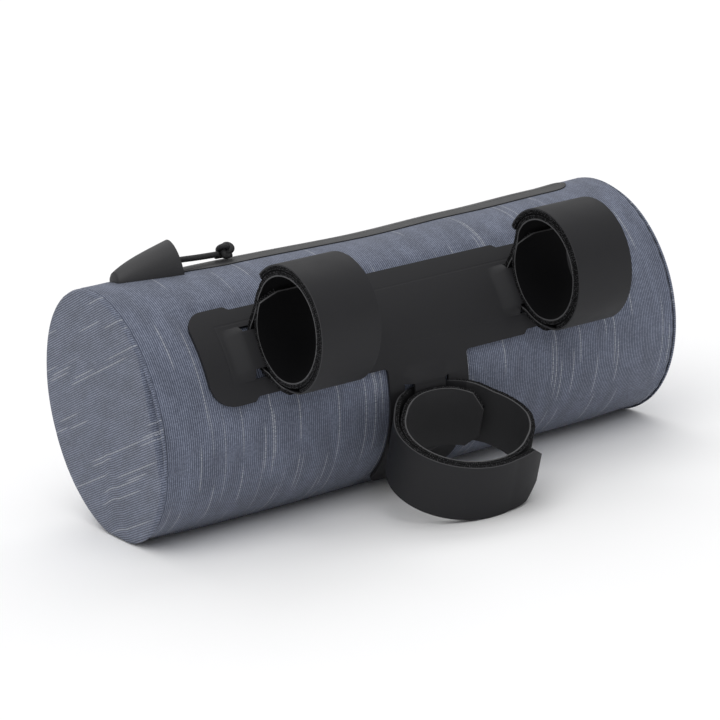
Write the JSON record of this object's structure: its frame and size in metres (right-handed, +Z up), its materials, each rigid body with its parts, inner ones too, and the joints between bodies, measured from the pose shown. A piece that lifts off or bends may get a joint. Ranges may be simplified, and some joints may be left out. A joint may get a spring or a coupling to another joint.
{
  "type": "bicycle handlebar bag",
  "caption": "Small zipped fabric roll bag for a bicycle handlebar, with hook-and-loop strap loops on a moulded plate and a hood over the zip's end.",
  "frame": {"origin": "on the floor, under the middle of the bag's box", "axes": "+X along the bag from the zip hood's end to the other end, +Z up, the plate and its loops towards -Y"},
  "size_m": [0.2406, 0.1522, 0.1114],
  "materials": {
    "shell_fabric": "ribbed slate fabric with pale slubs",
    "zip_strip": "coated zip strip, satin",
    "slider": "black paint",
    "moulded_rubber": "fine matte grain",
    "cord": "thin braided cord",
    "plate": "matte, with faint pressed lines",
    "strap": "smooth matte skin over a hook-and-loop pile"
  },
  "bodies": {
    "root": {"body_panel": "shell_fabric", "end_panel_left": "shell_fabric", "end_panel_right": "shell_fabric", "zip_tape_front": "zip_strip", "zip_tape_back": "zip_strip", "zip_slider": "slider", "zip_garage": "moulded_rubber", "pull_cord": "cord", "pull_knot": "cord", "mount_plate": "plate", "bar_strap_left": "strap", "bar_strap_right": "strap", "tube_strap": "strap"}
  },
  "joints": []
}
